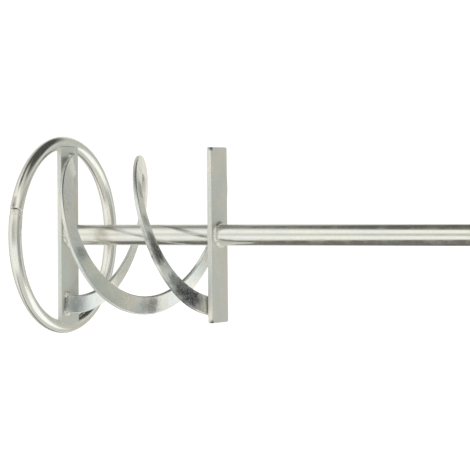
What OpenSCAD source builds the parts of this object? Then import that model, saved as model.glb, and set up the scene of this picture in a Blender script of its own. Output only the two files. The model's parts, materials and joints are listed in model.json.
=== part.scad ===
// Mortar mixing paddle: a round-bar ring, two flat crossbars, two helical
// blades and a drive shaft, all welded together into one rigid tool.
// The tool stands on its ring: +Z runs up the shaft to the drive end, the
// crossbars lie along X, and the origin is the middle of the ring's underside.

/* [Overall] */
// Height from the underside of the ring to the tip of the drive stud
total_length = 600; // [400:10:700]

/* [Ring] */
// Outside diameter of the ring
ring_outer_d = 120; // [116:1:124]
// Diameter of the round bar that the ring is bent from
ring_bar_d = 8; // [7:0.5:9]
// Compass angle of the butt weld that closes the ring
ring_joint_angle = 256; // [200:1:340]

/* [Crossbars] */
// Width of both crossbars
bar_w = 20; // [18:1:24]
// Thickness of both crossbars
bar_t = 3; // [2.5:0.5:4]
// Length of the upper crossbar
upper_bar_l = 104; // [98:1:110]
// Clear height between the two crossbars
bar_gap = 100.5; // [90:0.5:120]
// Height of the lower crossbar's top face above the ring's top
bar_step = 0.2; // [0:0.1:0.4]
// Twist of the upper crossbar about the shaft
upper_bar_twist = 0.5; // [0:0.1:2]

/* [Shaft] */
// Diameter of the round drive shaft
shaft_d = 12.5; // [10:0.5:14]

/* [Blades] */
// Width of the blade strip
strip_w = 11; // [9:0.5:12]
// Thickness of the blade strip
strip_t = 2.5; // [2:0.1:3]
// Distance from the shaft's axis to the strip's middle, towards the bar ends
blade_reach = 42.4; // [40:0.2:44]
// Distance from the shaft's axis to blade A's middle, across the bars
blade_a_depth = 44; // [38:0.5:46]
// Distance from the shaft's axis to blade B's middle, across the bars
blade_b_depth = 37; // [36:0.5:46]
// How far blade B hangs low half way up
blade_b_sag = 3.3; // [0:0.1:4]
// How much blade B's face leans more behind the shaft than in front of it
blade_b_lean = 11; // [0:1:12]
// Slope of the strip's face, down towards its outer edge
strip_tilt = 6; // [0:1:10]

/* [Drive end] */
// Width across the flats of the hexagon
hex_af = 22; // [19:1:24]
// Height of the hexagon
hex_h = 14; // [12:1:18]
// Outside diameter of the threaded stud
stud_d = 14; // [12:1:16]
// Length of the threaded stud above the hexagon
stud_l = 22; // [18:1:30]

/* [Hidden] */

$fn = 96;
ring_steps = 288;
// Room left between two pieces that only a weld joins
play = 0.1;
// Length added to a cutting solid so that it passes right through
cut = 1;

steel = "silver";
dull_steel = "darkgray";
weld_grey = "gray";

ring_bar_r = ring_bar_d / 2;
ring_mid_r = ring_outer_d / 2 - ring_bar_r;
lower_bar_top = ring_bar_d + bar_step;
lower_bar_z = lower_bar_top - bar_t;
upper_bar_z = lower_bar_top + bar_gap;
upper_bar_top = upper_bar_z + bar_t;
bar_corner_r = 1;
shaft_r = shaft_d / 2;

// The lower crossbar's ends reach half way up onto the ring's bar
lower_bar_l = 2 * ring_mid_r - ring_bar_r;

// The gap at the ring's joint, and how far its weld stands proud of the bar
joint_gap = 2.4;
joint_bulge = 0.3;
joint_sweep = joint_gap / ring_mid_r * 180 / PI;

hex_z = total_length - stud_l - hex_h;
stud_z = total_length - stud_l;
stud_r = stud_d / 2;
socket_depth = 10;
thread_relief = 1;
relief_h = 2;
stud_chamfer = 1;

// Legs of the round welds
foot_leg = 2.5;
collar_leg = 2;
adapter_leg = 3;
// Straight welds: radius and length of the bead, before it is cut to its place
ring_bead_r = 1.5;
ring_bead_l = 12;
blade_bead_r = 2;
blade_bead_l = 2.5;
// How far the blades' welds sit from the crossbar's middle line, before any
// trim, and from the blade's upper end
foot_bead_angle = 7;
head_bead_angle = 4;

// Each blade's curve starts this many degrees before the crossbar's middle line.
// It lies flat on the lower crossbar, bends up within a few degrees, reaches the
// upper crossbar after one full turn, and lies flat under it
blade_lead_in = 10;
blade_lie = 8;
blade_bend = 10;
blade_sweep = 360 + blade_lie;
// Blade A's lower end is cut shorter, clear of the crossbar's far edge
blade_a_trim = 5;
blade_steps = 72;
strip_edge = 0.4;
blade_slope = atan(bar_gap / (2 * PI * blade_reach));
strip_half_h = strip_t / 2 / cos(blade_slope);
strip_half_w = strip_w / 2 * cos(strip_tilt) + strip_t / 2 * sin(strip_tilt);
blade_first_z = lower_bar_top + strip_half_h;
blade_last_z = upper_bar_z - strip_half_h;

// [start angle, depth, sag, lean, trim] of each blade
BLADE_A = [180, blade_a_depth, 0, 0, blade_a_trim];
BLADE_B = [0, blade_b_depth, blade_b_sag, blade_b_lean, 0];

function unit(v) = v / norm(v);

// Compass angle and middle point of a blade after it has turned through t degrees
function blade_angle(blade, t) = blade[0] - blade_lead_in + t;
function blade_climb(t) =
    max(0, min(360, t - blade_lie * exp((blade_lie - t) / blade_bend))) / 360;
function blade_middle(blade, t) =
    let (a = blade_angle(blade, t),
         climb = blade_climb(t))
    [blade_reach * cos(a),
     blade[1] * sin(a),
     blade_first_z + (blade_last_z - blade_first_z) * climb
         - blade[2] * (1 - cos(360 * climb)) / 2];

// Level direction straight out from the curve that the blade follows
function blade_out(blade, t) =
    let (a = blade_angle(blade, t))
    unit([blade[1] * cos(a), blade_reach * sin(a), 0]);

// Outline of the strip, [outwards, upwards] from its middle, with broken edges
function strip_outline() =
    let (x = strip_w / 2, y = strip_t / 2, e = strip_edge)
    [[x, e - y], [x, y - e], [x - e, y], [e - x, y],
     [-x, y - e], [-x, e - y], [e - x, -y], [x - e, -y]];

function between_bars(z) = max(lower_bar_top, min(upper_bar_z, z));

// The strip's outline stood square across the blade, and flattened where it
// would run into a crossbar
function blade_section(blade, t) =
    let (a = blade_angle(blade, t),
         along = unit(blade_middle(blade, t + 1) - blade_middle(blade, t - 1)),
         out = blade_out(blade, t),
         up = unit(cross(out, along)),
         tilt = strip_tilt + blade[3] * sin(a),
         wide = out * cos(tilt) - up * sin(tilt),
         thick = out * sin(tilt) + up * cos(tilt))
    [for (p = strip_outline())
        let (q = blade_middle(blade, t) + wide * p[0] + thick * p[1])
        [q[0], q[1], between_bars(q[2])]];

module helical_strip(blade) {
    n = len(strip_outline());
    step = (blade_sweep - blade[4]) / blade_steps;
    points = [for (i = [0 : blade_steps]) each blade_section(blade, blade[4] + i * step)];
    sides = [for (i = [0 : blade_steps - 1], j = [0 : n - 1])
        let (a = i * n + j, b = i * n + (j + 1) % n)
        each [[a, a + n, b + n], [a, b + n, b]]];
    start_cap = [for (j = [1 : n - 2]) [0, j, j + 1]];
    last = blade_steps * n;
    end_cap = [for (j = [1 : n - 2]) [last, last + j + 1, last + j]];
    polyhedron(points, concat(sides, start_cap, end_cap));
}

// A flat bar along X that lies on z = 0, with rounded corners
module flat_bar(length) {
    linear_extrude(bar_t) {
        square([length, bar_w - 2 * bar_corner_r], center = true);
        square([length - 2 * bar_corner_r, bar_w], center = true);
        for (x = [-1, 1], y = [-1, 1])
            translate([x * (length / 2 - bar_corner_r), y * (bar_w / 2 - bar_corner_r)])
                circle(bar_corner_r);
    }
}

// The solid that the ring's round bar fills, in finer steps than the rest
// because the thin welds beside it are cut to it
module ring_bar() {
    translate([0, 0, ring_bar_r])
        rotate_extrude($fn = ring_steps)
            translate([ring_mid_r, 0])
                circle(ring_bar_r);
}

// The lower crossbar before its ends are cut to the ring
module lower_bar_blank() {
    translate([0, 0, lower_bar_z])
        flat_bar(lower_bar_l);
}

// A convex weld in the corner between a rod and a flat face at z = 0
module weld_collar(rod_r, leg) {
    rotate_extrude()
        translate([rod_r, 0])
            intersection() {
                circle(leg);
                square(leg);
            }
}

// A round-ended weld bead along Y
module weld_bead(r, length) {
    rotate([90, 0, 0])
        cylinder(h = length, r = r, center = true);
    for (y = [-1, 1])
        translate([0, y * length / 2, 0])
            sphere(r);
}

module ring() {
    color(steel)
        rotate([0, 0, ring_joint_angle + joint_sweep / 2])
            translate([0, 0, ring_bar_r])
                rotate_extrude(angle = 360 - joint_sweep)
                    translate([ring_mid_r, 0])
                        circle(ring_bar_r);
}

// Fills the ring's joint and is dressed flush underneath
module ring_butt_weld() {
    color(weld_grey)
        rotate([0, 0, ring_joint_angle - joint_sweep / 2])
            translate([0, 0, ring_bar_r + joint_bulge])
                rotate_extrude(angle = joint_sweep)
                    translate([ring_mid_r, 0])
                        circle(ring_bar_r + joint_bulge);
}

// Its ends are cut to the ring's round bar
module lower_crossbar() {
    color(dull_steel)
        difference() {
            lower_bar_blank();
            ring_bar();
        }
}

module upper_crossbar() {
    color(dull_steel)
        translate([0, 0, upper_bar_z])
            rotate([0, 0, upper_bar_twist])
                difference() {
                    flat_bar(upper_bar_l);
                    translate([0, 0, -cut])
                        cylinder(h = bar_t + 2 * cut, r = shaft_r + play);
                }
}

// One bead underneath each end of the lower crossbar, along the ring's inner side
module ring_crossbar_welds() {
    color(weld_grey)
        for (side = [-1, 1])
            difference() {
                translate([side * (ring_mid_r - ring_bar_r), 0, lower_bar_z])
                    weld_bead(ring_bead_r, ring_bead_l);
                lower_bar_blank();
                ring_bar();
            }
}

module shaft() {
    color(steel)
        translate([0, 0, lower_bar_top])
            cylinder(h = hex_z + socket_depth - lower_bar_top, r = shaft_r);
}

module shaft_foot_weld() {
    color(weld_grey)
        translate([0, 0, lower_bar_top])
            weld_collar(shaft_r, foot_leg);
}

// One round weld above the upper crossbar and one below it
module shaft_collar_welds() {
    color(weld_grey) {
        translate([0, 0, upper_bar_top])
            weld_collar(shaft_r, collar_leg);
        translate([0, 0, upper_bar_z])
            mirror([0, 0, 1])
                weld_collar(shaft_r, collar_leg);
    }
}

module blade_a() {
    color(steel)
        helical_strip(BLADE_A);
}

module blade_b() {
    color(steel)
        helical_strip(BLADE_B);
}

// A quarter-round bead along each edge of a blade, t degrees from its start,
// that stands up or hangs down from a crossbar's face at height z
module edge_beads(blade, t, z, up) {
    spot = blade_middle(blade, t);
    out = blade_out(blade, t);
    translate([spot[0], spot[1], z])
        rotate([0, 0, atan2(out[1], out[0])])
            for (side = [0, 1])
                mirror([side, 0, 0])
                    translate([strip_half_w, 0, 0])
                        mirror([0, 0, up ? 0 : 1])
                            intersection() {
                                weld_bead(blade_bead_r, blade_bead_l);
                                translate([0, -blade_bead_l, 0])
                                    cube([blade_bead_l, 2 * blade_bead_l, blade_bead_l]);
                            }
}

// The welds that hold the blades down on the lower crossbar
module blade_foot_welds() {
    color(weld_grey)
        for (blade = [BLADE_A, BLADE_B])
            edge_beads(blade, blade[4] + blade_lead_in - foot_bead_angle, lower_bar_top, true);
}

// The welds that hold the blades up against the upper crossbar
module blade_head_welds() {
    color(weld_grey)
        for (blade = [BLADE_A, BLADE_B])
            edge_beads(blade, blade_sweep - head_bead_angle, upper_bar_z, false);
}

// Hexagon and threaded stud turned from one piece, with a socket for the shaft
module drive_adapter() {
    color(steel)
        difference() {
            union() {
                translate([0, 0, hex_z])
                    hexagon();
                translate([0, 0, stud_z])
                    cylinder(h = relief_h, r = stud_r - thread_relief);
                translate([0, 0, stud_z + relief_h])
                    cylinder(h = stud_l - relief_h - stud_chamfer, r = stud_r);
                translate([0, 0, total_length - stud_chamfer])
                    cylinder(h = stud_chamfer, r1 = stud_r, r2 = stud_r - stud_chamfer);
            }
            translate([0, 0, hex_z - cut])
                cylinder(h = socket_depth + cut, r = shaft_r + play);
        }
}

// Six flats with the corners of both ends turned off
module hexagon() {
    corner_r = hex_af / 2 / cos(30);
    bevel = corner_r - hex_af / 2;
    intersection() {
        cylinder(h = hex_h, r = corner_r, $fn = 6);
        union() {
            cylinder(h = bevel, r1 = hex_af / 2, r2 = corner_r);
            translate([0, 0, bevel])
                cylinder(h = hex_h - 2 * bevel, r = corner_r);
            translate([0, 0, hex_h - bevel])
                cylinder(h = bevel, r1 = corner_r, r2 = hex_af / 2);
        }
    }
}

module adapter_weld() {
    color(weld_grey)
        translate([0, 0, hex_z])
            mirror([0, 0, 1])
                weld_collar(shaft_r, adapter_leg);
}

ring();
ring_butt_weld();
lower_crossbar();
upper_crossbar();
ring_crossbar_welds();
shaft();
shaft_foot_weld();
shaft_collar_welds();
blade_a();
blade_b();
blade_foot_welds();
blade_head_welds();
drive_adapter();
adapter_weld();
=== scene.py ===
import json
import math
from collections import namedtuple

import bmesh
import bpy
from mathutils import Matrix, Quaternion, Vector, noise


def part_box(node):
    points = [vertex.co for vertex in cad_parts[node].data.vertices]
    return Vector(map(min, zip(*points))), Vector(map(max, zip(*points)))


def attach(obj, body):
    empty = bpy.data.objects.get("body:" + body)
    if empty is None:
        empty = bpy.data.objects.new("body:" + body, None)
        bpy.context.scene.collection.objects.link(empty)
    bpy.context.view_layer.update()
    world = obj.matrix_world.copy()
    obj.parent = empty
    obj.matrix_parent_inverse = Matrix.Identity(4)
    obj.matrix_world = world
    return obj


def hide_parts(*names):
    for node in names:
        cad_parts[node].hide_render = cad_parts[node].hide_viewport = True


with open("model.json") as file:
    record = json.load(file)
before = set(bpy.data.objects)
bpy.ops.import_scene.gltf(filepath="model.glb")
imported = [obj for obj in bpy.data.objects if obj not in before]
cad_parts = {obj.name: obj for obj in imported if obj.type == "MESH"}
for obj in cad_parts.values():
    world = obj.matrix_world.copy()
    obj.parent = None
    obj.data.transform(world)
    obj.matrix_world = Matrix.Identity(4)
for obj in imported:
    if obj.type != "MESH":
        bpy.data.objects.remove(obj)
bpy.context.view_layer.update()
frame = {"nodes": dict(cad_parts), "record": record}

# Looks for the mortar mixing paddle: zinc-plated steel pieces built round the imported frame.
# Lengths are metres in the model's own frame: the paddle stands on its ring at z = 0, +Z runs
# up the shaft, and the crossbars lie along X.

MM = 0.001

# ---------------------------------------------------------------- sizes read from the frame
ring_low, ring_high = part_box("ring")
lower_low, lower_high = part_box("lower_crossbar")
upper_low, upper_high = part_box("upper_crossbar")
shaft_low, shaft_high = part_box("shaft")
adapter_low, adapter_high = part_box("drive_adapter")
MOUNTS = {mount["name"]: mount for mount in frame["record"]["mounts"]}
SLOT_OF = {part["node"]: part["material_slot"] for part in frame["record"]["subparts"]}

RING_BAR_R = (ring_high.z - ring_low.z) / 2
RING_R = ring_high.x - RING_BAR_R
BAR_T = upper_high.z - upper_low.z
BAR_W = lower_high.y - lower_low.y
SHAFT_R = shaft_high.x
HEX_AF = adapter_high.y - adapter_low.y
STUD_R = MOUNTS["drive_stud"]["dims"]["r_mm"] * MM
STUD_TOP = adapter_high.z

# ---------------------------------------------------------------- sizes repeated from the CAD source
RING_JOINT_ANGLE = 256
RING_JOINT_GAP = 2.4 * MM
UPPER_BAR_L = 104 * MM
UPPER_BAR_TWIST = 0.5
STRIP_W = 11 * MM
STRIP_T = 2.5 * MM
STRIP_TILT = 6
BLADE_REACH = 42.4 * MM
BLADE_LEAD_IN = 10
BLADE_LIE = 8
BLADE_BEND = 10
# Slope of a blade's climb, and half of the strip's upright height on that slope
CLIMB_SLOPE = math.atan((upper_low.z - lower_high.z) / (math.tau * BLADE_REACH))
STRIP_HALF_H = STRIP_T / 2 / math.cos(CLIMB_SLOPE)
FOOT_LEG = 2.5 * MM
COLLAR_LEG = 2 * MM
ADAPTER_LEG = 3 * MM
RING_BEAD_R = 1.5 * MM
RING_BEAD_L = 12 * MM
BLADE_BEAD_R = 2 * MM
BLADE_BEAD_L = 2.5 * MM
FOOT_BEAD_ANGLE = 7
HEAD_BEAD_ANGLE = 4
HEX_H = 14 * MM
SOCKET_DEPTH = 10 * MM
PLAY = 0.1 * MM
THREAD_PITCH = 2 * MM
THREAD_RELIEF = 1 * MM
RELIEF_H = 2 * MM
STUD_CHAMFER = 1 * MM

# ---------------------------------------------------------------- detail that only the looks have
# Edges that turn more than this are kept sharp
SHARP_ANGLE = math.radians(35)
ARC_STEPS = 5
ROUND_STEPS = 96
RING_ROWS = 300
RING_STEPS = 40
BLADE_ROWS = 368
THREAD_ROWS = 168
BEAD_ROWS = 32
BEAD_STEPS = 20
BUTT_WELD_ROWS = 24
BUTT_WELD_STEPS = 56

BAR_CORNER_R = 1.2 * MM
BAR_EDGE_R = 0.35 * MM
STRIP_EDGE_R = 0.7 * MM
SHAFT_CHAMFER = 0.6 * MM
# The strip's faces aren't quite true: how deep and how long their waves are
STRIP_WAVE = 0.05 * MM
STRIP_WAVE_L = 9 * MM
# How softly the strip turns where it meets a crossbar
STRIP_SOFT = 0.3 * MM
# Half of the turn, in degrees, over which a blade's direction is measured
STRIP_LOOK_AHEAD = 1.5

# The thread's depth, then its flat half crest and its flank as shares of half a pitch
THREAD_DEPTH = 0.6134 * THREAD_PITCH
THREAD_HALF_CREST = 0.125
THREAD_FLANK = 0.625

# The ring's two ends: how far the second end is out of line with the first, over how many
# rows it drifts, how its cut leans in degrees, and the bevel on both
JOINT_SHIFT = 0.4 * MM
JOINT_ROWS = 14
JOINT_LEAN = -1.4
JOINT_BEVEL = 0.45 * MM
# The weld in the joint: half its length as a share of the gap, how far it lies below the
# bar's surface in the middle, how much further it dips at its ends, and its lumps' height
# and length
BUTT_WELD_REACH = 0.8
BUTT_WELD_LOW = 0.1 * MM
BUTT_WELD_DIP = 0.9 * MM
BUTT_WELD_LUMP = 0.3 * MM
BUTT_WELD_LUMP_L = 1.6 * MM

# The round welds: how far they reach into the pieces they join, the length of their ripples
# and lumps, and as shares of the weld's leg, its body and the height of both
WELD_SINK = 0.3 * MM
ROUND_WELD_RIPPLE_L = 1.5 * MM
ROUND_WELD_LUMP_L = 2.6 * MM
ROUND_WELD_BODY = 0.9
ROUND_WELD_RIPPLE = 0.07
ROUND_WELD_LUMP = 0.14
# The straight beads: the length of their ripples and lumps, and the height of both as shares
# of the bead's radius
BEAD_RIPPLE_L = 1.2 * MM
BEAD_LUMP_L = 1.8 * MM
BEAD_RIPPLE = 0.06
BEAD_LUMP = 0.22

Blade = namedtuple("Blade", "node start depth sag lean trim")
BLADE_A = Blade("blade_a", start=180, depth=44 * MM, sag=0, lean=0, trim=5)
BLADE_B = Blade("blade_b", start=0, depth=37 * MM, sag=3.3 * MM, lean=11, trim=0)
BLADES = [BLADE_A, BLADE_B]


# ---------------------------------------------------------------- mesh helpers
def skin(rows, ring=False, bm=None):
    """One closed surface through equal outlines: round in a ring, or with both ends capped."""
    bm = bm or bmesh.new()
    loops = [[bm.verts.new(point) for point in row] for row in rows]
    pairs = list(zip(loops, loops[1:]))
    if ring:
        pairs.append((loops[-1], loops[0]))
    for first, second in pairs:
        for i in range(len(first)):
            j = (i + 1) % len(first)
            bm.faces.new((first[i], first[j], second[j], second[i]))
    if not ring:
        bm.faces.new(reversed(loops[0]))
        bm.faces.new(loops[-1])
    return bm


def turned(profile_at, steps, bm=None):
    """A surface about the shaft's axis. profile_at gives its closed [(radius, z)] at a turn from 0 to 1."""
    rows = []
    for i in range(steps):
        angle = math.tau * i / steps
        profile = profile_at(i / steps)
        rows.append([Vector((r * math.cos(angle), r * math.sin(angle), z)) for r, z in profile])
    return skin(rows, ring=True, bm=bm)


def arc(centre, radius, start, end, steps=ARC_STEPS):
    """Points along an arc in a plane, from angle start to angle end in degrees."""
    angles = [math.radians(start + (end - start) * i / steps) for i in range(steps + 1)]
    return [(centre[0] + radius * math.cos(a), centre[1] + radius * math.sin(a)) for a in angles]


def rounded_rectangle(width, height, radius, steps=ARC_STEPS):
    """Outline of a rectangle about (0, 0), anticlockwise, with rounded corners."""
    x, y = width / 2 - radius, height / 2 - radius
    points = []
    for quarter, (sx, sy) in enumerate(((1, 1), (-1, 1), (-1, -1), (1, -1))):
        points += arc((sx * x, sy * y), radius, 90 * quarter, 90 * quarter + 90, steps)
    return points


def add_piece(bm, material, *nodes):
    """Turns a bmesh into a shown piece that stands for these CAD nodes."""
    bmesh.ops.remove_doubles(bm, verts=bm.verts, dist=0.5e-6)
    bmesh.ops.recalc_face_normals(bm, faces=bm.faces)
    mesh = bpy.data.meshes.new(nodes[0] + "_look")
    bm.to_mesh(mesh)
    bm.free()
    for polygon in mesh.polygons:
        polygon.use_smooth = True
    mesh.set_sharp_from_angle(angle=SHARP_ANGLE)
    mesh.materials.append(material)
    piece = bpy.data.objects.new(nodes[0] + "_look", mesh)
    bpy.context.scene.collection.objects.link(piece)
    weighted = piece.modifiers.new("even_shading", "WEIGHTED_NORMAL")
    weighted.keep_sharp = True
    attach(piece, "root")
    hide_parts(*nodes)
    return piece


def ripple(point, size):
    """Smooth noise from -1 to 1 that changes over about this length."""
    return noise.noise(Vector(point) / size)


def lumpy(point, amount, size):
    """How far weld metal stands proud here."""
    return amount * (ripple(point, size) + 0.5 * ripple(point, size / 2.3))


# ---------------------------------------------------------------- blades
def blade_angle(blade, turn):
    return math.radians(blade.start - BLADE_LEAD_IN + turn)


def blade_climb(turn):
    """How far up a blade has climbed, 0 to 1: flat at its lower end, then a bend, then an even slope."""
    climbed = turn - BLADE_LIE * math.exp((BLADE_LIE - turn) / BLADE_BEND)
    return max(0, min(360, climbed)) / 360


def blade_middle(blade, turn):
    """Middle of the strip after it has turned through this many degrees from its lower end."""
    first_z = lower_high.z + STRIP_HALF_H
    last_z = upper_low.z - STRIP_HALF_H
    angle = blade_angle(blade, turn)
    climb = blade_climb(turn)
    z = first_z + (last_z - first_z) * climb - blade.sag * (1 - math.cos(math.tau * climb)) / 2
    return Vector((BLADE_REACH * math.cos(angle), blade.depth * math.sin(angle), z))


def between_bars(z):
    """z kept between the crossbars, with a soft turn where it meets one."""
    rise = z - lower_high.z
    above = lower_high.z + (rise + math.hypot(rise, STRIP_SOFT)) / 2
    room = upper_low.z - above
    return upper_low.z - (room + math.hypot(room, STRIP_SOFT)) / 2


def blade_section(blade, turn, outline):
    """The strip's outline stood square across the blade."""
    angle = blade_angle(blade, turn)
    middle = blade_middle(blade, turn)
    before = blade_middle(blade, turn - STRIP_LOOK_AHEAD)
    after = blade_middle(blade, turn + STRIP_LOOK_AHEAD)
    along = (after - before).normalized()
    out = Vector((blade.depth * math.cos(angle), BLADE_REACH * math.sin(angle), 0)).normalized()
    up = out.cross(along).normalized()
    tilt = math.radians(STRIP_TILT + blade.lean * math.sin(angle))
    wide = out * math.cos(tilt) - up * math.sin(tilt)
    thick = out * math.sin(tilt) + up * math.cos(tilt)
    section = []
    for across, over in outline:
        point = middle + wide * across + thick * over
        point += thick * STRIP_WAVE * ripple(point, STRIP_WAVE_L)
        section.append(Vector((point.x, point.y, between_bars(point.z))))
    return section


def make_blade(blade, material):
    """The strip from its trimmed lower end to its upper end."""
    outline = rounded_rectangle(STRIP_W, STRIP_T, STRIP_EDGE_R)
    step = (360 + BLADE_LIE - blade.trim) / BLADE_ROWS
    rows = [blade_section(blade, blade.trim + step * i, outline) for i in range(BLADE_ROWS + 1)]
    return add_piece(skin(rows), material, blade.node)


# ---------------------------------------------------------------- ring
def circle_outline(radius, steps=RING_STEPS):
    return arc((0, 0), radius, 0, 360, steps)[:-1]


def ring_section(angle, outline, shift=0.0, lean=0.0):
    """An outline stood across the ring. Its outer side leads its inner side by twice the lean."""
    section = []
    for x, y in outline:
        turn = math.radians(angle + lean * x / RING_BAR_R)
        radius = RING_R + shift + x
        section.append(Vector((radius * math.cos(turn), radius * math.sin(turn), RING_BAR_R + y)))
    return section


def make_ring(material):
    """The round bar bent into a ring. Its two ends are bevelled for welding and don't quite line up."""
    gap = math.degrees(RING_JOINT_GAP / RING_R)
    bevel_turn = math.degrees(JOINT_BEVEL / RING_R)
    full, bevelled = circle_outline(RING_BAR_R), circle_outline(RING_BAR_R - JOINT_BEVEL)
    rows = [ring_section(RING_JOINT_ANGLE + gap / 2, bevelled)]
    for i in range(RING_ROWS + 1):
        turned_by = (360 - gap - 2 * bevel_turn) * i / RING_ROWS
        near_end = max(0, 1 - (RING_ROWS - i) / JOINT_ROWS)
        angle = RING_JOINT_ANGLE + gap / 2 + bevel_turn + turned_by
        rows.append(ring_section(angle, full, JOINT_SHIFT * near_end ** 2, JOINT_LEAN * near_end ** 4))
    last = RING_JOINT_ANGLE - gap / 2 + 360
    rows.append(ring_section(last, bevelled, JOINT_SHIFT, JOINT_LEAN))
    return add_piece(skin(rows), material, "ring")


def make_butt_weld(material):
    """Weld metal that fills the joint a little lower than the bar, with a rough surface."""
    reach = math.degrees(RING_JOINT_GAP * BUTT_WELD_REACH / RING_R)
    rows = []
    for i in range(BUTT_WELD_ROWS + 1):
        along = 2 * i / BUTT_WELD_ROWS - 1
        radius = RING_BAR_R - BUTT_WELD_LOW - BUTT_WELD_DIP * along ** 6
        outline = circle_outline(radius, BUTT_WELD_STEPS)
        row = ring_section(RING_JOINT_ANGLE + reach * along, outline, JOINT_SHIFT / 2)
        middle = sum(row, Vector()) / len(row)
        lifts = [lumpy(point, BUTT_WELD_LUMP, BUTT_WELD_LUMP_L) for point in row]
        rows.append([point + (point - middle).normalized() * lift for point, lift in zip(row, lifts)])
    return add_piece(skin(rows), material, "ring_butt_weld")


# ---------------------------------------------------------------- crossbars
def make_bar(material, node, length, low_z, twist):
    """A flat bar along X with rounded corners and edges."""
    layers = arc((BAR_EDGE_R, BAR_EDGE_R), BAR_EDGE_R, 270, 180, 4)
    layers += [(inset, BAR_T - z) for inset, z in reversed(layers)]
    turn = Matrix.Rotation(math.radians(twist), 3, "Z")
    rows = []
    for inset, z in layers:
        outline = rounded_rectangle(length - 2 * inset, BAR_W - 2 * inset, BAR_CORNER_R - inset)
        rows.append([turn @ Vector((x, y, low_z + z)) for x, y in outline])
    return add_piece(skin(rows), material, node)


# ---------------------------------------------------------------- shaft and drive adapter
def make_shaft(material):
    """A plain round rod with a broken upper edge."""
    low, high = shaft_low.z, shaft_high.z
    profile = [(0, low), (SHAFT_R, low), (SHAFT_R, high - SHAFT_CHAMFER)]
    profile += [(SHAFT_R - SHAFT_CHAMFER, high), (0, high)]
    return add_piece(turned(lambda turn: profile, ROUND_STEPS), material, "shaft")


def thread_radius(turn, z):
    """Radius of the right-hand thread: flat crests, flat roots and straight flanks between them."""
    from_crest = abs(2 * ((z / THREAD_PITCH - turn) % 1) - 1)
    down_flank = (from_crest - THREAD_HALF_CREST) / THREAD_FLANK
    return STUD_R - THREAD_DEPTH * min(1, max(0, down_flank))


def adapter_profile(turn):
    """Socket, hexagon, relief groove and threaded stud, on one side of the axis at this turn."""
    low, stud_z = adapter_low.z, adapter_low.z + HEX_H
    socket_r = SHAFT_R + PLAY
    across = math.radians((turn * 360) % 60 - 30)
    hex_r = HEX_AF / 2 / math.cos(across)
    bevel = hex_r - HEX_AF / 2
    profile = [(0, low + SOCKET_DEPTH), (socket_r, low + SOCKET_DEPTH), (socket_r, low)]
    profile += [(HEX_AF / 2, low), (hex_r, low + bevel), (hex_r, stud_z - bevel), (HEX_AF / 2, stud_z)]
    relief_r = STUD_R - THREAD_RELIEF
    thread_z = stud_z + RELIEF_H
    profile += [(relief_r, stud_z), (relief_r, thread_z)]
    for i in range(THREAD_ROWS + 1):
        z = thread_z + (STUD_TOP - thread_z) * i / THREAD_ROWS
        ends = min(relief_r + z - thread_z, STUD_R - STUD_CHAMFER + STUD_TOP - z)
        profile.append((min(thread_radius(turn, z), ends), z))
    profile.append((0, STUD_TOP))
    return profile


def make_adapter(material):
    return add_piece(turned(adapter_profile, ROUND_STEPS), material, "drive_adapter")


# ---------------------------------------------------------------- welds
def round_weld(z, leg, side, bm=None):
    """A rippled weld between the shaft and a flat face at z. Its side is 1 above the face and -1 below."""
    ripples = round(math.tau * SHAFT_R / ROUND_WELD_RIPPLE_L)

    def profile_at(turn):
        inner = (SHAFT_R - WELD_SINK, z - side * WELD_SINK)
        profile = [inner, (SHAFT_R + leg, z - side * WELD_SINK)]
        for degrees in range(0, 91, 10):
            lift = math.radians(degrees)
            scallop = abs(math.sin(math.pi * ripples * turn + 0.9 * math.sin(2 * lift)))
            around = math.tau * turn
            spot = (math.cos(around) * SHAFT_R, math.sin(around) * SHAFT_R, z + leg * lift)
            size = leg * (ROUND_WELD_BODY + ROUND_WELD_RIPPLE * scallop)
            size += lumpy(spot, ROUND_WELD_LUMP * leg, ROUND_WELD_LUMP_L)
            profile.append((SHAFT_R + size * math.cos(lift), z + side * size * math.sin(lift)))
        profile.append((SHAFT_R - WELD_SINK, z + side * leg * ROUND_WELD_BODY))
        return profile

    return turned(profile_at, 3 * ROUND_STEPS, bm)


def bead(start, end, radius, bm=None):
    """A lumpy round-ended bead of weld between two points."""
    along = end - start
    length = along.length + 2 * radius
    along.normalize()
    side = along.orthogonal().normalized()
    over = along.cross(side)
    rows = []
    for i in range(BEAD_ROWS + 1):
        reach = length * i / BEAD_ROWS
        from_end = min(reach, length - reach)
        round_off = math.sqrt(max(0, 1 - max(0, 1 - from_end / radius) ** 2))
        middle = start + along * (reach - radius)
        scallop = 1 + BEAD_RIPPLE * abs(math.sin(math.pi * reach / BEAD_RIPPLE_L))
        row = []
        for x, y in circle_outline(radius * round_off * scallop, BEAD_STEPS):
            point = middle + side * x + over * y
            lump = lumpy(point, BEAD_LUMP * radius, BEAD_LUMP_L)
            row.append(point + (side * x + over * y) / radius * lump)
        rows.append(row)
    return skin(rows, bm=bm)


def edge_beads(blade, turn, z, bm=None):
    """A bead along each edge of a blade where it lies on a crossbar's face at z."""
    spot = blade_middle(blade, turn)
    angle = blade_angle(blade, turn)
    out = Vector((blade.depth * math.cos(angle), BLADE_REACH * math.sin(angle), 0)).normalized()
    along = Vector((-out.y, out.x, 0))
    half_w = STRIP_W / 2 * math.cos(math.radians(STRIP_TILT))
    for side in (-1, 1):
        middle = Vector((spot.x, spot.y, z)) + out * side * half_w
        reach = along * BLADE_BEAD_L / 2
        bm = bead(middle - reach, middle + reach, BLADE_BEAD_R, bm)
    return bm


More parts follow.
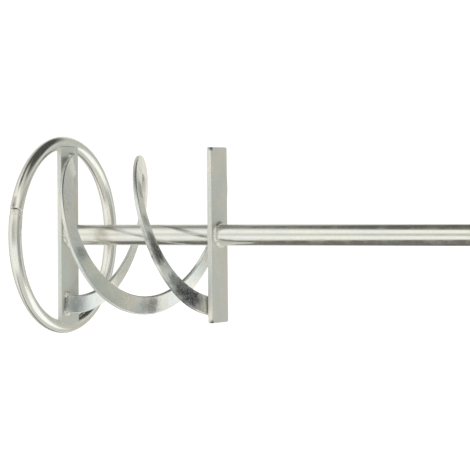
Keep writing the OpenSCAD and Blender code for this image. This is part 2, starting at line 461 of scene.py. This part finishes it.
def make_welds(material):
    inner_r = RING_R - RING_BAR_R
    bm = None
    for side in (-1, 1):
        ends = [Vector((side * inner_r, y * RING_BEAD_L / 2, lower_low.z)) for y in (-1, 1)]
        bm = bead(*ends, RING_BEAD_R, bm)
    add_piece(bm, material, "ring_crossbar_welds")
    add_piece(round_weld(lower_high.z, FOOT_LEG, 1), material, "shaft_foot_weld")
    collars = round_weld(upper_high.z, COLLAR_LEG, 1)
    add_piece(round_weld(upper_low.z, COLLAR_LEG, -1, collars), material, "shaft_collar_welds")
    add_piece(round_weld(adapter_low.z, ADAPTER_LEG, -1), material, "adapter_weld")
    feet, heads = None, None
    for blade in BLADES:
        feet = edge_beads(blade, BLADE_LEAD_IN - FOOT_BEAD_ANGLE + blade.trim, lower_high.z, feet)
        heads = edge_beads(blade, 360 + BLADE_LIE - HEAD_BEAD_ANGLE, upper_low.z, heads)
    add_piece(feet, material, "blade_foot_welds")
    add_piece(heads, material, "blade_head_welds")


# ---------------------------------------------------------------- node helpers
class Tree:
    """Short ways to add the nodes of a material or a world."""

    def __init__(self, node_tree):
        self.nodes = node_tree.nodes
        self.links = node_tree.links

    def put(self, value, socket):
        if isinstance(value, bpy.types.NodeSocket):
            self.links.new(value, socket)
        elif socket.type == "RGBA" and len(value) == 3:
            socket.default_value = (*value, 1)
        else:
            socket.default_value = value

    def add(self, kind, **settings):
        node = self.nodes.new(kind)
        for name, value in settings.items():
            setattr(node, name, value)
        return node

    def value(self, operation, *inputs):
        node = self.add("ShaderNodeMath", operation=operation)
        for value, socket in zip(inputs, node.inputs):
            self.put(value, socket)
        return node.outputs[0]

    def vector(self, operation, *inputs):
        node = self.add("ShaderNodeVectorMath", operation=operation)
        for value, socket in zip(inputs, node.inputs):
            self.put(value, socket)
        return node.outputs["Value"] if operation in ("DOT_PRODUCT", "LENGTH") else node.outputs[0]

    def ramp(self, value, low, high, low_value=0.0, high_value=1.0):
        """Maps low..high smoothly to low_value..high_value."""
        node = self.add("ShaderNodeMapRange", interpolation_type="SMOOTHSTEP")
        node.inputs["From Min"].default_value = low
        node.inputs["From Max"].default_value = high
        node.inputs["To Min"].default_value = low_value
        node.inputs["To Max"].default_value = high_value
        self.put(value, node.inputs["Value"])
        return node.outputs["Result"]

    def noise(self, place, scale, detail):
        """Soft noise between 0 and 1, at this many features a metre."""
        node = self.add("ShaderNodeTexNoise")
        node.inputs["Scale"].default_value = scale
        node.inputs["Detail"].default_value = detail
        self.put(place, node.inputs["Vector"])
        return node.outputs[0]

    def mix(self, factor, first, second):
        """A mix of two colours."""
        node = self.add("ShaderNodeMix", data_type="RGBA")
        self.put(factor, node.inputs[0])
        self.put(first, node.inputs[6])
        self.put(second, node.inputs[7])
        return node.outputs[2]


def new_material(name):
    material = bpy.data.materials.new(name)
    material.use_nodes = True
    return material, material.node_tree.nodes["Principled BSDF"]


# ---------------------------------------------------------------- camera and floor
VIEW_AIM = Vector((0, 0, 0.1219))
VIEW_DISTANCE = 1.5658
VIEW_AZIMUTH = -0.72
VIEW_ELEVATION = 27.63
VIEW_ROLL = 90.03
LENS = 202.9
FLOOR_SIZE = 20
FLOOR_GREY = 0.5
FLOOR_GLOW = 0.8


def make_camera():
    """A long lens turned on its side, so that the shaft lies across the picture."""
    azimuth, elevation = math.radians(VIEW_AZIMUTH), math.radians(VIEW_ELEVATION)
    back = Vector((
        math.sin(azimuth) * math.cos(elevation),
        -math.cos(azimuth) * math.cos(elevation),
        math.sin(elevation),
    ))
    data = bpy.data.cameras.new("camera")
    data.lens = LENS
    data.sensor_width = 36
    camera = bpy.data.objects.new("camera", data)
    camera.rotation_mode = "QUATERNION"
    upright = (-back).to_track_quat("-Z", "Y")
    camera.rotation_quaternion = upright @ Quaternion((0, 0, 1), math.radians(VIEW_ROLL))
    camera.location = VIEW_AIM + back * VIEW_DISTANCE
    bpy.context.scene.collection.objects.link(camera)
    bpy.context.scene.camera = camera


def make_floor():
    """A plain pale floor. It is left out of reflections, so polished steel mirrors only the studio."""
    bm = bmesh.new()
    bmesh.ops.create_grid(bm, x_segments=1, y_segments=1, size=FLOOR_SIZE)
    mesh = bpy.data.meshes.new("floor")
    bm.to_mesh(mesh)
    bm.free()
    floor = bpy.data.objects.new("floor", mesh)
    material, shader = new_material("floor")
    shader.inputs["Base Color"].default_value = (FLOOR_GREY, FLOOR_GREY, FLOOR_GREY, 1)
    shader.inputs["Roughness"].default_value = 1
    shader.inputs["Specular IOR Level"].default_value = 0
    shader.inputs["Emission Color"].default_value = (1, 1, 1, 1)
    shader.inputs["Emission Strength"].default_value = FLOOR_GLOW
    mesh.materials.append(material)
    bpy.context.scene.collection.objects.link(floor)
    floor.visible_glossy = False
    floor.visible_shadow = False


# ---------------------------------------------------------------- studio light
# Cards of light and shade far away in the studio. Later cards lie over earlier ones. Angles are
# in degrees, and a card's edge fades out over the soft share of its half width and height.
Card = namedtuple("Card", "name azimuth elevation half_width half_height soft colour")
CARDS = [
    Card("low_front", 0, -60, 80, 38, 0.3, (0.88, 0.88, 0.84)),
    Card("low_back", 180, -58, 85, 36, 0.3, (0.62, 0.61, 0.57)),
    Card("back_wall", 180, 12, 38, 26, 0.5, (0.56, 0.55, 0.50)),
    Card("back_low", 180, -15, 40, 8, 0.5, (0.95, 0.93, 0.84)),
    Card("back_high", 180, 48, 30, 13, 0.6, (0.70, 0.74, 0.73)),
    Card("edge_right", 98, -26, 53, 7, 0.4, (0.10, 0.095, 0.08)),
    Card("edge_left", -97, -14, 44, 15.5, 0.5, (0.06, 0.055, 0.045)),
    Card("dark_left", -112, 18, 30, 34, 0.6, (0.03, 0.03, 0.025)),
    Card("softbox_left", -38, 2, 16, 52, 0.7, (1.0, 1.0, 0.96)),
    Card("softbox_right", 26, 4, 15, 52, 0.7, (1.0, 1.0, 0.96)),
    Card("between_boxes", -5, -4, 10, 22, 0.6, (0.50, 0.50, 0.46)),
    Card("softbox_far_right", 122, 42, 28, 20, 0.5, (1.2, 1.2, 1.16)),
    Card("ceiling", 0, 90, 22, 22, 0.5, (0.34, 0.35, 0.34)),
]
STUDIO_WALLS = (0.66, 0.66, 0.62)
# What the camera sees past the floor, in place of the cards
BACKDROP = (1, 1, 1)


def compass(azimuth, elevation):
    """Unit vector at an azimuth from -Y towards +X and an elevation, in degrees."""
    a, e = math.radians(azimuth), math.radians(elevation)
    return Vector((math.sin(a) * math.cos(e), -math.cos(a) * math.cos(e), math.sin(e)))


def off_card(tree, sideways, ahead, half_angle):
    """How far a direction is from a card's middle along one of its sides, where 1 is the card's edge."""
    away = tree.value("ABSOLUTE", tree.value("ARCTAN2", sideways, ahead))
    return tree.value("DIVIDE", away, math.radians(half_angle))


def make_world():
    """The studio that lights the object and shows in its polish, and a plain backdrop for the camera."""
    world = bpy.data.worlds.new("studio")
    world.use_nodes = True
    world.cycles.sampling_method = "NONE"
    tree = Tree(world.node_tree)
    direction = tree.add("ShaderNodeTexCoord").outputs["Generated"]
    colour = STUDIO_WALLS
    for card in CARDS:
        facing = compass(card.azimuth, card.elevation)
        side = compass(card.azimuth + 90, 0)
        ahead = tree.vector("DOT_PRODUCT", direction, facing)
        across = tree.vector("DOT_PRODUCT", direction, side)
        over = tree.vector("DOT_PRODUCT", direction, side.cross(facing))
        off_width = off_card(tree, across, ahead, card.half_width)
        off_height = off_card(tree, over, ahead, card.half_height)
        reach = tree.value("MAXIMUM", off_width, off_height)
        inside = tree.ramp(reach, 1 + card.soft / 2, 1 - card.soft / 2)
        colour = tree.mix(inside, colour, card.colour)
    seen_directly = tree.add("ShaderNodeLightPath").outputs["Is Camera Ray"]
    colour = tree.mix(seen_directly, colour, BACKDROP)
    background = tree.nodes["Background"]
    tree.links.new(colour, background.inputs["Color"])
    bpy.context.scene.world = world


# ---------------------------------------------------------------- materials
# A dark patch painted into the zinc's colour. On the blades and the crossbar's corners it is a painted
# reflection of dark things nearby. On the ring it is a darker streak near the joint.
Stain = namedtuple("Stain", "middle radius strength")


def on_blade(blade, turn, radius, strength):
    return Stain(blade_middle(blade, turn), radius, strength)


def on_ring(angle, radius, strength):
    """A dark patch on the outer side of the ring's bar, half way up it."""
    out = Vector((math.cos(math.radians(angle)), math.sin(math.radians(angle)), 0))
    return Stain(out * (RING_R + RING_BAR_R) + Vector((0, 0, RING_BAR_R)), radius, strength)


# A streak of four dark patches on the ring that gets stronger towards the joint
RING_DARK_STREAK = [on_ring(248 + 1.5 * i, 1.5 * MM, 0.5 + 0.09 * i) for i in range(4)]
# A painted dark reflection on each front corner of the upper crossbar
BAR_CORNER_PAINTED_REFLECTIONS = [
    Stain(Vector((side * UPPER_BAR_L / 2, -BAR_W / 2, upper_high.z)), 2.2 * MM, 0.9) for side in (-1, 1)
]
# Painted dark reflections along the blades, where the strip mirrors the shaft, the crossbars and dark
# things round it
BLADE_PAINTED_REFLECTIONS = [
    on_blade(BLADE_A, 114, 5 * MM, 0.50),
    on_blade(BLADE_A, 189, 5.5 * MM, 0.50),
    on_blade(BLADE_A, 195, 6 * MM, 0.70),
    on_blade(BLADE_B, 4, 6 * MM, 0.50),
    on_blade(BLADE_B, 10, 6 * MM, 0.35),
    on_blade(BLADE_B, 236, 4.5 * MM, 0.60),
    on_blade(BLADE_B, 243, 4.5 * MM, 0.60),
    on_blade(BLADE_B, 268, 5 * MM, 0.50),
    on_blade(BLADE_B, 283, 5.5 * MM, 0.85),
    on_blade(BLADE_B, 289, 6.5 * MM, 0.95),
    on_blade(BLADE_B, 295, 7 * MM, 1.00),
    on_blade(BLADE_B, 319, 6 * MM, 0.75),
    on_blade(BLADE_B, 327, 8 * MM, 0.95),
    on_blade(BLADE_B, 335, 8.5 * MM, 1.00),
    on_blade(BLADE_B, 342, 7 * MM, 1.00),
]

# Two tints that drift into each other over the mottle length, dark speckle, a pale haze of plating over
# the bare metal, the polish and bump of the surface, painted shade: how much darker faces that look up or
# down are, and the dark patches (painted reflections on the blades and the crossbar's corners)
Finish = namedtuple("Finish", "warm cool mottle speckle haze rough bump dull_face stains")
FINISHES = {
    "bright_zinc": Finish(
        warm=(0.92, 0.90, 0.83), cool=(0.86, 0.88, 0.85), mottle=26 * MM, speckle=0.02,
        haze=0.09, rough=0.14, bump=0.10, dull_face=0, stains=RING_DARK_STREAK,
    ),
    "strip_zinc": Finish(
        warm=(0.91, 0.89, 0.83), cool=(0.77, 0.82, 0.81), mottle=20 * MM, speckle=0.04,
        haze=0.18, rough=0.20, bump=0.15, dull_face=0, stains=BLADE_PAINTED_REFLECTIONS,
    ),
    "satin_zinc": Finish(
        warm=(0.90, 0.87, 0.79), cool=(0.80, 0.83, 0.79), mottle=18 * MM, speckle=0.06,
        haze=0.35, rough=0.40, bump=0.20, dull_face=0.12, stains=BAR_CORNER_PAINTED_REFLECTIONS,
    ),
    "turned_zinc": Finish(
        warm=(0.90, 0.88, 0.82), cool=(0.82, 0.84, 0.82), mottle=30 * MM, speckle=0.02,
        haze=0.15, rough=0.18, bump=0.08, dull_face=0, stains=[],
    ),
    "plated_weld": Finish(
        warm=(0.90, 0.88, 0.80), cool=(0.74, 0.75, 0.71), mottle=4 * MM, speckle=0.12,
        haze=0.25, rough=0.24, bump=0.25, dull_face=0, stains=[],
    ),
}
SPECKLE_COLOUR = (0.25, 0.25, 0.22)
# Painted shade: the colour that faces looking up or down are darkened towards
FACE_SHADE_COLOUR = (0.2, 0.2, 0.15)
SPECKLE_L = 0.9 * MM
POLISH_L = 7 * MM
BUMP_L = 1.6 * MM
BUMP_DEPTH = 0.04 * MM

# The colour the dark patches are painted towards, which is mostly painted reflection
DARK_PATCH_COLOUR = (0.05, 0.05, 0.055)
DARK_PATCH_ROUGHNESS = 0.2
# How softly neighbouring dark patches run together, the length of their ragged edges, and where one starts
# and is full, as distances from its middle in radii with the raggedness added
DARK_PATCH_MERGE = 0.15
DARK_PATCH_RAGGED_L = 3 * MM
DARK_PATCH_START = 1.9
DARK_PATCH_FULL = 0.8


def darkened_share(tree, place, stains):
    """How much the dark patches darken the surface, 0 to 1."""
    ragged = tree.noise(place, 1 / DARK_PATCH_RAGGED_L, 4)
    darkened = 0.0
    for dark_patch in stains:
        away = tree.vector("LENGTH", tree.vector("SUBTRACT", place, dark_patch.middle))
        away = tree.value("ADD", tree.value("DIVIDE", away, dark_patch.radius), ragged)
        spot = tree.ramp(away, DARK_PATCH_START, DARK_PATCH_FULL, 0, dark_patch.strength)
        darkened = tree.value("SMOOTH_MAX", darkened, spot, DARK_PATCH_MERGE)
    return darkened


def make_finish(name, finish):
    """Zinc plate: a tint that drifts between warm and cool, fine speckle, dark patches (painted reflections
    on the blades and the crossbar's corners), painted shade on faces that look up or down, and uneven
    polish.
    """
    material, shader = new_material(name)
    tree = Tree(material.node_tree)
    place = tree.add("ShaderNodeTexCoord").outputs["Object"]
    speckle = tree.noise(place, 1 / SPECKLE_L, 2)
    drift = tree.ramp(tree.noise(place, 1 / finish.mottle, 3), 0.35, 0.65)
    tint = tree.mix(drift, finish.warm, finish.cool)
    tint = tree.mix(tree.ramp(speckle, 0.45, 0.7, 0, finish.speckle * 2), tint, SPECKLE_COLOUR)
    # Painted shade: faces that look up or down are darkened by how they face
    if finish.dull_face:
        normal = tree.add("ShaderNodeNewGeometry").outputs["True Normal"]
        level = tree.value("ABSOLUTE", tree.vector("DOT_PRODUCT", normal, Vector((0, 0, 1))))
        tint = tree.mix(tree.ramp(level, 0.6, 0.9, 0, finish.dull_face), tint, FACE_SHADE_COLOUR)
    uneven = tree.noise(place, 1 / POLISH_L, 3)
    polish = tree.ramp(uneven, 0.3, 0.7, finish.rough - 0.04, finish.rough + 0.06)
    # Dark patches painted into the colour, most of them painted reflections, with a rougher polish under
    # them
    if finish.stains:
        darkened = darkened_share(tree, place, finish.stains)
        patchy = tree.value("MULTIPLY", darkened, tree.ramp(speckle, 0.3, 0.65, 0.72, 1.0))
        tint = tree.mix(patchy, tint, DARK_PATCH_COLOUR)
        polish = tree.value("ADD", polish, tree.value("MULTIPLY", darkened, DARK_PATCH_ROUGHNESS))
    tree.put(tint, shader.inputs["Base Color"])
    shader.inputs["Metallic"].default_value = 1 - finish.haze
    tree.put(polish, shader.inputs["Roughness"])
    bump = tree.add("ShaderNodeBump")
    bump.inputs["Strength"].default_value = finish.bump
    bump.inputs["Distance"].default_value = BUMP_DEPTH
    tree.put(tree.noise(place, 1 / BUMP_L, 3), bump.inputs["Height"])
    tree.put(bump.outputs["Normal"], shader.inputs["Normal"])
    return material


# ---------------------------------------------------------------- the scene
make_camera()
make_world()
make_floor()
METALS = {name: make_finish(name, finish) for name, finish in FINISHES.items()}
make_ring(METALS["bright_zinc"])
make_butt_weld(METALS["plated_weld"])
make_shaft(METALS["bright_zinc"])
make_adapter(METALS["turned_zinc"])
for blade in BLADES:
    make_blade(blade, METALS["strip_zinc"])
make_bar(METALS["satin_zinc"], "lower_crossbar", lower_high.x - lower_low.x, lower_low.z, 0)
make_bar(METALS["satin_zinc"], "upper_crossbar", UPPER_BAR_L, upper_low.z, UPPER_BAR_TWIST)
make_welds(METALS["plated_weld"])
for name, node in frame["nodes"].items():
    node.data.materials.clear()
    node.data.materials.append(METALS[SLOT_OF[name]])
bpy.context.scene.view_settings.view_transform = "Standard"
